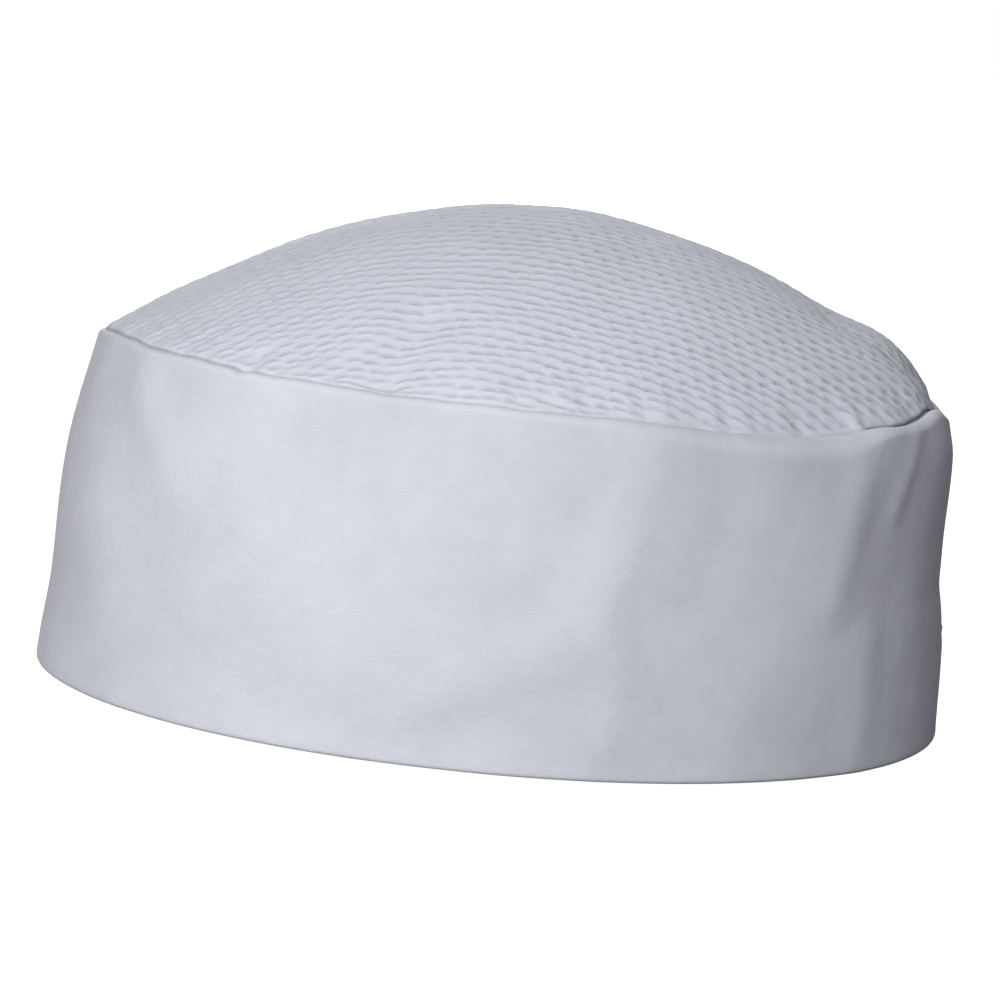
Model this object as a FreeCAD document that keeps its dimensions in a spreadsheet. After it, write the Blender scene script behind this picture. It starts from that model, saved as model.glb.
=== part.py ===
"""A low chef's cap: a wide twill band, a domed mesh crown and an adjustable back.

Frame: +Z up, the front faces -Y, the rim lies on Z = 0 and the oval's centre is at X = Y = 0.
The band is a tapered oval tube. Every layer that lies on it is a thinner tube of the same
taper, named by its depth inwards from the band's outer face (negative depths stand proud).
Angles run around the oval from +X, so the back of the cap is at 90 degrees.
"""
import FreeCAD, Part
import os
import Sketcher

doc = FreeCAD.newDocument("chef_cap")
sheet = doc.addObject("Spreadsheet::Sheet", "Dimensions")

DIMENSIONS = [
    # band
    ("rim_half_length", 103.5),      # outer face at the rim, front to back
    ("rim_half_width", 88.5),        # outer face at the rim, side to side
    ("shoulder_half_length", 97.5),  # outer face at the top of the band
    ("shoulder_half_width", 79.8),
    ("band_height", 73),
    ("shoulder_radius", 3),
    ("ply", 0.6),                    # one layer of twill
    ("wall", 2),                     # twill, interfacing and twill together
    ("interfacing_top", 69),
    # crown
    ("crown_rise", 33.5),
    ("mesh", 0.8),
    ("allowance_foot", 66),          # lower edge of the crown's seam allowance
    ("tape", 0.7),
    ("tape_foot", 60),
    ("tape_head", 70),
    # sweatband
    ("terry", 1.6),
    ("terry_foot", 3),
    ("terry_head", 33),
    ("terry_setback", 6.4),          # from the opening's edge to the sweatband's end
    # back opening
    ("opening_half_width", 25),
    ("opening_spring", 12),          # height where the straight sides turn into the arch
    ("binding", 0.5),
    ("binding_leg", 6),
    ("binding_lip", 0.6),
    ("binding_foot", 0.4),
    # closure
    ("pile", 0.9),                   # loop tape
    ("hooks", 1),
    ("closure_gap", 0.3),
    ("strap", 1.2),
    ("strap_ply", 0.35),
    ("strap_foot", 2.5),
    ("strap_head", 22.5),
    ("strap_cavity_margin", 1.5),
    ("tab_start", 64.5),             # angles from here to hook_end, in degrees
    ("fold_angle", 72.1),            # where the free strap bends away from its sewn end
    ("fold_gap", 0.12),
    ("strap_end", 138.5),
    ("loop_start", 109),
    ("loop_end", 142),
    ("hook_start", 111),
    ("hook_end", 137),
    # thread
    ("thread", 0.25),
    ("stitch_width", 0.5),
    ("stitch_inset", 2),
    ("stitch_turn", 1.2),            # the same inset in degrees round the oval
    ("bartack_foot", 24.5),
    ("bartack_head", 31.5),
    ("bartack_width", 1.6),
    ("back_seam_spacing", 4),
    # labels
    ("label", 0.5),
    ("label_corner", 2),
    ("tab_foot", 56.5),
    ("tab_head", 60),
    ("care_width", 32),
    ("care_drop", 38),
    ("size_width", 14),
    ("size_drop", 12),
    ("label_gap", 1),                # from a sewn end to its label, with the flip axis half way
    ("label_standoff", 1.5),
    # reach of the tools that trim the layers
    ("reach", 130),
]
for row, (alias, value) in enumerate(DIMENSIONS, start=1):
    sheet.set(f"A{row}", alias)
    sheet.set(f"B{row}", str(value))
    sheet.setAlias(f"B{row}", alias)
doc.recompute()

FORWARD = FreeCAD.Rotation(FreeCAD.Vector(0, 0, 1), -90)
ACROSS = FreeCAD.Rotation(FreeCAD.Vector(1, 0, 0), -90)
nodes = []


def size(name):
    """Return a driving dimension as a number."""
    return float(sheet.get(name))


def sized(text):
    """Turn a formula of bare dimension names into an expression on the sheet."""
    words = sorted((alias for alias, _ in DIMENSIONS), key=len, reverse=True)
    parts = []
    token = ""
    for letter in text + " ":
        if letter.isalnum() or letter in "_.":
            token += letter
            continue
        parts.append(f"Dimensions.{token}" if token in words else token)
        parts.append(letter)
        token = ""
    return "".join(parts).strip()


def bind(item, **formulas):
    """Bind properties of an object to formulas; a double underscore stands for a dot."""
    for name, formula in formulas.items():
        item.setExpression(name.replace("__", "."), sized(formula))
    return item


# ---------------------------------------------------------------- building blocks
def oval(label, height, depth):
    """The band's oval at a height, moved inwards by a depth."""
    curve = doc.addObject("Part::Ellipse", label)
    curve.Placement = FreeCAD.Placement(FreeCAD.Vector(), FORWARD)
    taper = f"({height}) / band_height"
    return bind(
        curve,
        MajorRadius=f"rim_half_length - (rim_half_length - shoulder_half_length) * {taper} - ({depth})",
        MinorRadius=f"rim_half_width - (rim_half_width - shoulder_half_width) * {taper} - ({depth})",
        Placement__Base__z=height,
    )


def plug(label, low, high, depth):
    """The solid inside the tapered oval between two heights."""
    body = doc.addObject("Part::Loft", label)
    body.Sections = [oval(label + "_low", low, depth), oval(label + "_high", high, depth)]
    body.Solid = True
    body.Ruled = True
    return body


def cut(label, base, tool):
    result = doc.addObject("Part::Cut", label)
    result.Base = base
    result.Tool = tool
    return result


def common(label, *shapes):
    result = doc.addObject("Part::MultiCommon", label)
    result.Shapes = list(shapes)
    return result


def join(label, *shapes):
    result = doc.addObject("Part::MultiFuse", label)
    result.Shapes = list(shapes)
    return result


def layer(label, low, high, outer, inner):
    """A closed ring of cloth between two depths of the tapered oval."""
    return cut(label, plug(label + "_outside", low, high, outer), plug(label + "_inside", low, high, inner))


def wedge(label, start, end, low, high):
    """A slice of the space round the cap, from one angle to another."""
    slice_ = doc.addObject("Part::Cylinder", label)
    return bind(
        slice_,
        Radius="reach",
        Height=f"{high} - ({low})",
        Angle=f"{end} - ({start})",
        Placement__Base__z=low,
        Placement__Rotation__Angle=start,
    )


def patch(label, start, end, low, high, outer, inner):
    """A rectangle of cloth that lies on the band."""
    ring = layer(label + "_ring", low, high, outer, inner)
    return common(label, ring, wedge(label + "_wedge", start, end, low, high))


def stitched_outline(label, start, end, low, high, face):
    """One line of stitching inside the edge of a patch, on the face at a depth."""
    outer = patch(
        label + "_field",
        f"{start} + stitch_turn", f"{end} - stitch_turn",
        f"{low} + stitch_inset", f"{high} - stitch_inset",
        f"{face} - thread", face,
    )
    hole = wedge(
        label + "_hole",
        f"{start} + stitch_turn + stitch_width / 2", f"{end} - stitch_turn - stitch_width / 2",
        f"{low} + stitch_inset + stitch_width", f"{high} - stitch_inset - stitch_width",
    )
    return cut(label, outer, hole)


def arch(label, margin, foot="-1"):
    """The arched outline of the back opening, grown by a margin, as a tool through the back."""
    sides = doc.addObject("Part::Box", label + "_sides")
    bind(
        sides,
        Length=f"2 * (opening_half_width + {margin})",
        Width="reach",
        Height=f"opening_spring - ({foot})",
        Placement__Base__x=f"-(opening_half_width + {margin})",
        Placement__Base__z=foot,
    )
    head = doc.addObject("Part::Cylinder", label + "_head")
    head.Placement = FreeCAD.Placement(FreeCAD.Vector(), ACROSS)
    bind(
        head,
        Radius=f"opening_half_width + {margin}",
        Height="reach",
        Placement__Base__z="opening_spring",
    )
    return join(label, sides, head)


def slab(label, half_width, low, high):
    """A tool through the back of the band, centred on the back seam."""
    block = doc.addObject("Part::Box", label)
    return bind(
        block,
        Length=f"2 * ({half_width})",
        Width="reach",
        Height=f"{high} - ({low})",
        Placement__Base__x=f"-({half_width})",
        Placement__Base__z=low,
    )


def finish(shape, label):
    """Name a finished sub-part and list it for writing."""
    shape.Label = label
    nodes.append(shape)
    return shape


# ---------------------------------------------------------------- the band
def band():
    """Twill folded in half at the rim, with interfacing between its two plies."""
    blank = plug("band_blank", "0", "band_height", "0")
    doc.recompute()
    body = doc.addObject("PartDesign::Body", "rolled_band")
    body.BaseFeature = blank
    doc.recompute()
    base = body.Group[0]
    top_edge = max(
        range(len(base.Shape.Edges)), key=lambda number: base.Shape.Edges[number].BoundBox.ZMin
    )
    roll = body.newObject("PartDesign::Fillet", "shoulder_roll")
    roll.Base = (base, [f"Edge{top_edge + 1}"])
    bind(roll, Radius="shoulder_radius")

    hollow = cut("hollow_band", body, plug("head_space", "0", "band_height", "wall"))
    pocket = layer("interfacing_pocket", "ply", "interfacing_top", "ply", "wall - ply")
    lined = cut("folded_band", hollow, pocket)
    finish(cut("band", lined, arch("band_opening", "0")), "band_shell")

    stiffener = layer("stiffener", "ply", "interfacing_top", "ply", "wall - ply")
    finish(cut("interfacing", stiffener, arch("interfacing_opening", "0")), "band_interfacing")


def back_seam():
    """Two rows of stitching that fell the band's ends together above the opening."""
    rows = []
    low, high = "opening_spring + opening_half_width + binding_leg + 1", "interfacing_top"
    ring = layer("back_seam_ring", low, high, "-thread", "0")
    for side in (-1, 1):
        name = "left" if side < 0 else "right"
        row = slab(f"back_seam_{name}_slab", "stitch_width / 2", low, high)
        bind(row, Placement__Base__x=f"{side} * back_seam_spacing / 2 - stitch_width / 2")
        rows.append(row)
    finish(common("seam", ring, join("back_seam_rows", *rows)), "back_seam_thread")


# ---------------------------------------------------------------- the crown
def cap_of_ellipsoid(label, inset):
    """The part of an ellipsoid above the band, whose edge is the seam's oval.

    A sphere through the seam's two ends and the crown's top sets the height, and the other
    radii follow from it, so the crown meets the band all round.
    """
    along = "(shoulder_half_length - wall)"
    sideways = "(shoulder_half_width - wall)"
    ball = f"(({along} * {along} + crown_rise * crown_rise) / (2 * crown_rise))"
    egg = doc.addObject("Part::Ellipsoid", label + "_egg")
    bind(
        egg,
        Radius1=f"{ball} - {inset}",
        Radius2=f"{ball} * {sideways} / {along} - {inset}",
        Radius3=f"{ball} - {inset}",
        Placement__Base__z=f"band_height + crown_rise - {ball}",
    )
    above = doc.addObject("Part::Box", label + "_above")
    bind(
        above,
        Length="2 * reach",
        Width="2 * reach",
        Height="reach",
        Placement__Base__x="-reach",
        Placement__Base__y="-reach",
        Placement__Base__z="band_height",
    )
    return common(label, egg, above)


def crown():
    """The mesh dome, with its seam allowance turned down inside the band."""
    dome = cut("dome", cap_of_ellipsoid("dome_outside", "0"), cap_of_ellipsoid("dome_inside", "mesh"))
    allowance = layer("seam_allowance", "allowance_foot", "band_height", "wall", "wall + mesh")
    finish(join("crown", dome, allowance), "crown_panel")

    tape = layer("tape_ring", "tape_foot", "tape_head", "wall + mesh", "wall + mesh + tape")
    finish(tape, "crown_seam_tape")
    rows = []
    for name, height in (("lower", "tape_foot + 1"), ("upper", "tape_head - 1 - stitch_width")):
        face = "wall + mesh + tape"
        rows.append(layer(f"tape_{name}_row", height, f"{height} + stitch_width", face, f"{face} + thread"))
    finish(join("tape_rows", *rows), "crown_seam_thread")


# ---------------------------------------------------------------- the sweatband
def sweatband():
    """Terry strip inside the rim, from one side of the back opening round to the other."""
    face = "wall + terry"
    clear = arch("sweatband_opening", "terry_setback")
    strip = layer("terry_ring", "terry_foot", "terry_head", "wall", face)
    finish(cut("terry_strip", strip, clear), "sweatband")
    rows = []
    for name, height in (("lower", "terry_foot + 1.5"), ("upper", "terry_head - 1.5 - stitch_width")):
        rows.append(layer(f"terry_{name}_row", height, f"{height} + stitch_width", face, f"{face} + thread"))
    thread_clear = arch("sweatband_thread_opening", "terry_setback + 1")
    finish(cut("terry_thread", join("terry_rows", *rows), thread_clear), "sweatband_thread")


# ---------------------------------------------------------------- the back opening
def opening_trim():
    """Binding folded over the arch's raw edge, its stitching and two bartacks."""
    head = "opening_spring + opening_half_width + binding_leg + 1"
    padded = layer("binding_ring", "binding_foot", head, "-binding", "wall + binding")
    outline = cut("binding_outline", arch("binding_outer_arch", "binding_leg"),
                  arch("binding_inner_arch", "(-binding_lip)", "-2"))
    solid_wall = layer("binding_wall_ring", "0", f"{head} + 1", "0", "wall")
    wall_there = cut("binding_wall", solid_wall, arch("binding_edge", "0", "-3"))
    finish(cut("channel", common("binding_blank", padded, outline), wall_there), "opening_binding")

    ring = layer("binding_row_ring", "binding_foot + 1", head, "-binding - thread", "-binding")
    line = cut("binding_row_outline", arch("binding_row_outer", "binding_leg - 1.5"),
               arch("binding_row_inner", "binding_leg - 1.5 - stitch_width", "-2"))
    binding_row = common("binding_row", ring, line)
    finish(binding_row, "opening_binding_thread")

    ring = layer("bartack_ring", "bartack_foot", "bartack_head", "-binding - 2 * thread", "-binding")
    tacks = []
    for side in (-1, 1):
        name = "left" if side < 0 else "right"
        tack = slab(f"bartack_{name}_slab", "bartack_width / 2", "bartack_foot", "bartack_head")
        bind(tack, Placement__Base__x=f"{side} * (opening_half_width + 0.5) - bartack_width / 2")
        tacks.append(tack)
    over_row = common("tacks_over_row", ring, join("tack_slabs", *tacks))
    finish(cut("tacks", over_row, binding_row), "bartacks")


# ---------------------------------------------------------------- the closure
STRAP_START = "fold_angle + fold_gap"
HOOK_FACE = "(-(pile + thread + closure_gap))"
STRAP_FACE = f"({HOOK_FACE} - hooks)"
STRAP_BACK = f"({STRAP_FACE} - strap)"


def fixed_closure():
    """The loop tape on the left, and the strap's sewn end on the right."""
    finish(patch("loop", "loop_start", "loop_end", "strap_foot", "strap_head", "-pile", "0"), "loop_tape")
    loop_line = stitched_outline("loop_line", "loop_start", "loop_end", "strap_foot", "strap_head", "-pile")
    finish(loop_line, "loop_tape_thread")

    root_end = "fold_angle - fold_gap"
    root = patch("root", "tab_start", root_end, "strap_foot", "strap_head", STRAP_BACK, "0")
    finish(root, "strap_root_tab")
    line = stitched_outline("root_line", "tab_start", root_end, "strap_foot", "strap_head", STRAP_BACK)
    finish(line, "strap_root_thread")


def strap():
    """The free strap: folded twill over interfacing, with hook tape on its inner face."""
    blank = patch(
        "strap_blank", STRAP_START, "strap_end", "strap_foot", "strap_head", STRAP_BACK, STRAP_FACE
    )
    cavity = {
        "start": f"{STRAP_START} + stitch_turn",
        "end": "strap_end - stitch_turn",
        "low": "strap_foot + strap_cavity_margin",
        "high": "strap_head - strap_cavity_margin",
        "outer": f"{STRAP_BACK} + strap_ply",
        "inner": f"{STRAP_FACE} - strap_ply",
    }
    finish(cut("strap_cloth", blank, patch("strap_cavity", **cavity)), "closure_strap")
    finish(patch("strap_stiffener", **cavity), "strap_interfacing")
    line = stitched_outline("strap_line", STRAP_START, "strap_end", "strap_foot", "strap_head", STRAP_BACK)
    finish(line, "strap_edge_thread")
    hook = patch(
        "hook", "hook_start", "hook_end", "strap_foot + 1", "strap_head - 1", STRAP_FACE, HOOK_FACE
    )
    finish(hook, "hook_tape")


# ---------------------------------------------------------------- the labels
def label_standoff_from(half_size, shoulder_half_size):
    """Distance from the cap's axis to the inner face of a label, at the tab's height."""
    wall_face = f"{half_size} - ({half_size} - {shoulder_half_size}) * tab_head / band_height - wall"
    return f"({wall_face} - label_standoff - label)"


def label(name, width, drop, inner_face, turn):
    """A label that hangs from its sewn end, which fills the gap to the band under the tape."""
    body = doc.addObject("PartDesign::Body", name)
    base = next(item for item in body.Origin.OriginFeatures if item.Role == "XZ_Plane")
    sketch = body.newObject("Sketcher::SketchObject", name + "_outline")
    sketch.AttachmentSupport = [(base, "")]
    sketch.MapMode = "FlatFace"
    half, length = size(width) / 2, size(drop)
    corners = [(-half, 0), (half, 0), (half, -length), (-half, -length)]
    for here, there in zip(corners, corners[1:] + corners[:1]):
        sketch.addGeometry(Part.LineSegment(FreeCAD.Vector(*here, 0), FreeCAD.Vector(*there, 0)))
    for line in range(4):
        sketch.addConstraint(Sketcher.Constraint("Coincident", line, 2, (line + 1) % 4, 1))
        sketch.addConstraint(Sketcher.Constraint("Horizontal" if line % 2 == 0 else "Vertical", line))
    sketch.addConstraint(Sketcher.Constraint("Symmetric", 0, 1, 0, 2, -1, 1))
    for line, text, formula in ((0, "width", width), (1, "drop", drop)):
        index = sketch.addConstraint(Sketcher.Constraint("Distance", line, size(formula)))
        sketch.renameConstraint(index, text)
        sketch.setExpression("Constraints." + text, sized(formula))
    pad = body.newObject("PartDesign::Pad", name + "_cloth")
    pad.Profile = sketch
    bind(pad, Length="label")
    doc.recompute()
    free_corners = [
        f"Edge{number}" for number, edge in enumerate(pad.Shape.Edges, start=1)
        if edge.BoundBox.ZMax < -length / 2 and edge.BoundBox.XLength < size("label") / 2
    ]
    rounding = body.newObject("PartDesign::Fillet", name + "_corners")
    rounding.Base = (pad, free_corners)
    bind(rounding, Radius="label_corner")

    box = doc.addObject("Part::Box", name + "_tab_box")
    bind(box, Length=width, Width=f"reach - {inner_face}", Height="tab_head - tab_foot")
    height = "tab_foot - label_gap"
    if turn:
        bind(body, Placement__Rotation__Angle="90", Placement__Base__x=f"-{inner_face} - label")
        bind(box, Placement__Rotation__Angle="90", Placement__Base__x=f"-{inner_face}",
             Placement__Base__y=f"-{width} / 2")
    else:
        bind(body, Placement__Base__y=f"{inner_face} + label")
        bind(box, Placement__Base__x=f"-{width} / 2", Placement__Base__y=inner_face)
    bind(body, Placement__Base__z=height)
    bind(box, Placement__Base__z="tab_foot")
    core = plug(name + "_tab_core", "tab_foot", "tab_head", "wall")
    finish(common(name + "_tab_blank", core, box), name + "_tab")
    finish(body, name)


def labels():
    back = label_standoff_from("rim_half_length", "shoulder_half_length")
    side = label_standoff_from("rim_half_width", "shoulder_half_width")
    label("size_label", "size_width", "size_drop", back, turn=False)
    label("care_label", "care_width", "care_drop", side, turn=True)


# ---------------------------------------------------------------- build and write
for make in (band, back_seam, crown, sweatband, opening_trim, fixed_closure, strap, labels):
    make()
doc.recompute()

for item in doc.Objects:
    broken = [state for state in item.State if state in ("Invalid", "Error")]
    if broken:
        raise RuntimeError(f"{item.Label} is {broken}")
for node in nodes:
    if node.Shape.isNull() or not node.Shape.isValid() or node.Shape.Volume <= 0:
        raise RuntimeError(f"{node.Label} has no valid solid")

os.makedirs("parts", exist_ok=True)
for node in nodes:
    node.Shape.exportStep(f"parts/{node.Label}.step")
    box = node.Shape.BoundBox
    print(
        f"{node.Label:22s} solids {len(node.Shape.Solids)}  volume {node.Shape.Volume:9.1f}  "
        f"x {box.XMin:7.2f} {box.XMax:7.2f}  y {box.YMin:7.2f} {box.YMax:7.2f}  "
        f"z {box.ZMin:6.2f} {box.ZMax:6.2f}"
    )
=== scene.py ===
"""The looks of a low chef's cap: twill band, domed mesh crown and adjustable back.

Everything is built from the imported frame, in metres. The band is a tapered oval tube whose
layers are found by angle round the oval, height above the rim and depth inwards from the
band's outer face. Angles are the oval's own parameter, with the back of the cap at 90 degrees.
"""
import math
import random

import bpy
import numpy as np
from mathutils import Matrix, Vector


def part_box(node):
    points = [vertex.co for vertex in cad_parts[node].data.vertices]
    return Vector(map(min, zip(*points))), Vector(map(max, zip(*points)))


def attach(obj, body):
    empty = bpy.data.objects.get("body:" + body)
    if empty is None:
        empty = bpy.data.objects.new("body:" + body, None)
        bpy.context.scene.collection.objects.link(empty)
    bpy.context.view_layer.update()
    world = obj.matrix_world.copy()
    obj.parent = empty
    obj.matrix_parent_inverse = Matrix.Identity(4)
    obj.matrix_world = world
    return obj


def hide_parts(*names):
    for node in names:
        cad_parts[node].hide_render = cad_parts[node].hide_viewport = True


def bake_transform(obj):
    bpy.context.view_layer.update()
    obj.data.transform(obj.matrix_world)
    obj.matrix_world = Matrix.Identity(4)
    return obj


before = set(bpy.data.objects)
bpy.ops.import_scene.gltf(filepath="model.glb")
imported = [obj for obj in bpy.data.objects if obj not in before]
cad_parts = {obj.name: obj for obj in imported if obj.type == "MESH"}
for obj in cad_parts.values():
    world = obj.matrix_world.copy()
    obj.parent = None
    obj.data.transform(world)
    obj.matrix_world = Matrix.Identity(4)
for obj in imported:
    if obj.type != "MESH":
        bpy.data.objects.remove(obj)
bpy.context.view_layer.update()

MM = 0.001
random.seed(7)

# ---- sizes from the frame
band_low, band_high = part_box("band_shell")
skirt_low, skirt_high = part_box("crown_panel")
tape_low, tape_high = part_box("crown_seam_tape")
terry_low, terry_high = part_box("sweatband")
strap_low, strap_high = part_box("closure_strap")

RIM_HALF = (band_high[0], -band_low[1])          # across, along
TOP_OF_BAND = float(band_high[2])
BAND_HEIGHT = 73 * MM
WALL = 2 * MM
PLY = 0.6 * MM                     # one ply of twill
skirt_share = skirt_low[2] / BAND_HEIGHT
TAPER = tuple(
    (RIM_HALF[axis] - WALL - half) / skirt_share
    for axis, half in enumerate((skirt_high[0], -skirt_low[1]))
)
TOP = skirt_high[2]
OPENING_HALF = 25 * MM
OPENING_SPRING = 12 * MM           # where the opening's arch starts
BINDING_LEG = 6 * MM
STRAP_MIDDLE = 12 * MM


def smooth(value, low, high):
    """0 below low, 1 above high, and a smooth step between them."""
    share = np.clip((np.asarray(value, float) - low) / (high - low), 0, 1)
    return share * share * (3 - 2 * share)


def bump(value, centre, width):
    """A soft hump of height 1."""
    return np.exp(-((np.asarray(value, float) - centre) / width) ** 2)


# ---- the band's surface
def half_axes(height):
    share = np.asarray(height, float) / BAND_HEIGHT
    return RIM_HALF[0] - TAPER[0] * share, RIM_HALF[1] - TAPER[1] * share


def near_back(angle):
    """1 at the closure and 0 round the front, where the cloth may wave freely."""
    turn = np.abs((np.degrees(angle) - 95 + 180) % 360 - 180)
    return 1 - smooth(turn, 50, 80)


WAVES = (  # turns round the cap, turns up the band, phase, height in mm
    (3, 0.15, 0.4, 0.35),
    (5, -0.3, 2.1, 0.30),
    (8, 0.5, 4.0, 0.22),
    (13, -0.8, 1.0, 0.13),
    (19, 1.1, 5.2, 0.08),
    (27, -1.6, 3.3, 0.05),
)


def wave(angle, height):
    """How far the soft cloth stands out from the true oval."""
    share = height / BAND_HEIGHT
    total = 0
    for around, up, phase, size in WAVES:
        total = total + size * MM * np.sin(around * angle + 2 * math.pi * up * share + phase)
    return total * (1 - 0.9 * near_back(angle)) * smooth(share, -0.25, 0.4)


def degrees_round(angle):
    """An angle in degrees between -180 and 180."""
    return (np.degrees(angle) + 180) % 360 - 180


CREST_SAGS = (  # degrees round, half width in degrees, height in mm
    (11, 22, -3.0),
    (-131, 16, -2.8),
    (62, 12, -3.0),
    (23.5, 5, 0.8),
    (43.5, 5, 1.3),
)


def crest(angle):
    """How far the band's top edge leaves its plane: slow sags and a wobbling seam."""
    turn = degrees_round(angle)
    sag = sum(size * bump(turn, centre, width) for centre, width, size in CREST_SAGS)
    wobble = 0.12 * np.sin(17 * angle) + 0.07 * np.sin(41 * angle + 2)
    pucker = -0.6 * bump(turn, -71.5, 1.1)
    return (sag + (wobble + pucker) * (1 - near_back(angle))) * MM


def along_fold(across, up, fold):
    """Height of one soft fold: a ridge, or a valley if negative, along a straight segment."""
    (from_across, from_up), (to_across, to_up), width, height = fold
    step = np.array([to_across - from_across, to_up - from_up], float)
    share = ((across - from_across) * step[0] + (up - from_up) * step[1]) / (step @ step)
    share = np.clip(share, 0, 1)
    off = np.hypot(across - from_across - share * step[0], up - from_up - share * step[1])
    return height * np.exp(-((off / width) ** 2))


DEGREE = 1.62                      # one degree round the band, in mm
BAND_FOLDS = (  # start and end as (degrees, mm above the rim), half width, height in mm
    ((-15, 66), (-19, 40), 7.0, 0.9),
    ((19, 64), (13, 38), 6.0, 0.8),
    ((-3, 60), (-7, 36), 6.0, -0.45),
    ((-41, 12), (-20, 31), 6.0, 0.75),
    ((-17, 28), (-18, 8), 5.0, 0.5),
    ((21, 26), (20, 6), 6.0, 0.55),
    ((-90, 66), (-77, 44), 6.0, 0.6),
    ((-92, 30), (-86, 18), 12.0, 0.9),
    ((33, 70), (27, 56), 3.0, 0.35),
    ((-60, 22), (-48, 40), 9.0, 0.35),
    ((-150, 60), (-170, 30), 8.0, 0.45),
    ((150, 64), (162, 36), 8.0, 0.45),
    ((-132, 20), (-118, 8), 8.0, 0.35),
)


BAND_SWELLS = (  # degrees round, half width, mm above the rim, half height, size in mm
    (-119, 28, 45, 27, 2.9),       # the belly of one side
    (-30, 60, 0, 14, -0.9),        # the rim tucked in
    (-108, 28, 0, 16, 1.1),        # the rim flared
    (54, 14, 34, 4, -0.45),        # a dent below the far corner
    (56, 12, 18, 13, 0.7),         # and a hip under it
)


def swell(angle, height):
    """Where the soft band bellies out, dents or folds."""
    turn = degrees_round(angle)
    up = height / MM
    corner = 1.9 * bump(turn, 52, 24) * smooth(up, 38, 66)
    lean = -1.5 * bump(turn, 50, 13) * smooth(up, 64, 75)
    total = corner + lean
    for centre, width, middle, tall, size in BAND_SWELLS:
        total = total + size * bump(turn, centre, width) * bump(up, middle, tall)
    for (from_turn, from_up), (to_turn, to_up), width, size in BAND_FOLDS:
        fold = ((from_turn * DEGREE, from_up), (to_turn * DEGREE, to_up), width, size)
        total = total + along_fold(turn * DEGREE, up, fold)
    return total * MM


def on_wall(angle, height, depth):
    """Points at a depth inside the band's outer face, as an array of x, y, z."""
    angle, height, depth = np.broadcast_arrays(
        np.asarray(angle, float), np.asarray(height, float), np.asarray(depth, float)
    )
    across, along = half_axes(height)
    normal = np.stack([np.cos(angle) / across, np.sin(angle) / along], -1)
    normal /= np.linalg.norm(normal, axis=-1, keepdims=True)
    out = (wave(angle, height) + swell(angle, height) - depth)[..., None]
    flat = np.stack([across * np.cos(angle), along * np.sin(angle)], -1) + normal * out
    lifted = height + crest(angle) * smooth(height, 25 * MM, BAND_HEIGHT)
    return np.concatenate([flat, lifted[..., None]], -1)


def angle_at(across_back, height):
    """The oval's parameter on the back of the band at a given x."""
    return math.pi / 2 - np.arcsin(np.asarray(across_back, float) / half_axes(height)[0])


def polar(degrees):
    """The oval's parameter at a true angle seen from above, at the strap's height."""
    across, along = half_axes(STRAP_MIDDLE)
    turn = math.radians(degrees)
    return math.atan2(math.sin(turn) / along, math.cos(turn) / across)


def arch_height(across_back):
    """Height of the back opening's edge."""
    inside = np.clip(OPENING_HALF ** 2 - np.asarray(across_back, float) ** 2, 0, None)
    return OPENING_SPRING + np.sqrt(inside)


# ---- mesh helpers
def mesh_object(name, vertices, faces, corner_uvs=None):
    mesh = bpy.data.meshes.new(name)
    mesh.from_pydata([tuple(v) for v in vertices], [], [tuple(f) for f in faces])
    mesh.update()
    if corner_uvs is not None:
        layer = mesh.uv_layers.new(name="UVMap")
        layer.data.foreach_set("uv", np.asarray(corner_uvs, np.float32).ravel())
    mesh.polygons.foreach_set("use_smooth", np.ones(len(mesh.polygons), dtype=bool))
    piece = bpy.data.objects.new(name, mesh)
    bpy.context.scene.collection.objects.link(piece)
    return piece


def four_corners(values, last):
    """Each face's four corner values, from values at the grid's points."""
    here = values[:, :last]
    ahead = np.roll(values, -1, axis=1)[:, :last]
    return np.stack([here[:-1], ahead[:-1], ahead[1:], here[1:]], 2)


def flat_map(along, up):
    """A grid's flat coordinates, from arrays that broadcast together."""
    return np.stack(np.broadcast_arrays(along, up), -1)


def grid_object(name, points, uv, keep=None, girth=None):
    """A sheet from a grid of points [row, column, xyz]; keep drops some of its faces.

    With a girth the last column joins the first one, and the texture meets itself there.
    """
    rows, columns = points.shape[:2]
    last = columns - 1 if girth is None else columns
    faces = four_corners(np.arange(rows * columns).reshape(rows, columns), last)
    corner_uvs = four_corners(uv, last)
    if girth is not None:
        corner_uvs[:, -1, 1:3, 0] += girth
    faces = faces.reshape(-1, 4)
    corner_uvs = corner_uvs.reshape(-1, 4, 2)
    if keep is not None:
        faces = faces[keep[:, :last].reshape(-1)]
        corner_uvs = corner_uvs[keep[:, :last].reshape(-1)]
    used = np.unique(faces)
    renumber = np.full(rows * columns, -1)
    renumber[used] = np.arange(len(used))
    return mesh_object(name, points.reshape(-1, 3)[used], renumber[faces], corner_uvs)


def thicken(piece, thickness, bevel=0.0, even=True):
    """Give a sheet its thickness, half to each side, and soft edges."""
    solid = piece.modifiers.new("thickness", "SOLIDIFY")
    solid.thickness = thickness
    solid.offset = 0
    solid.use_even_offset = even
    if bevel:
        edge = piece.modifiers.new("soft_edge", "BEVEL")
        edge.width = bevel
        edge.segments = 2
        edge.limit_method = "ANGLE"
        edge.angle_limit = math.radians(50)
    return piece


def lengths_along(points):
    """Distance travelled along a list of points."""
    steps = np.linalg.norm(np.diff(points, axis=0), axis=1)
    return np.concatenate([[0], np.cumsum(steps)])


def lengths_round(points):
    """Distance travelled round a closed ring of points, and the whole way round."""
    travelled = lengths_along(np.concatenate([points, points[:1]]))
    return travelled[:-1], float(travelled[-1])


def resample(points, spacing):
    """Points evenly spaced along a path."""
    travelled = lengths_along(points)
    at = np.linspace(0, travelled[-1], max(2, int(round(travelled[-1] / spacing)) + 1))
    return np.stack([np.interp(at, travelled, line) for line in points.T], -1)


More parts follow.
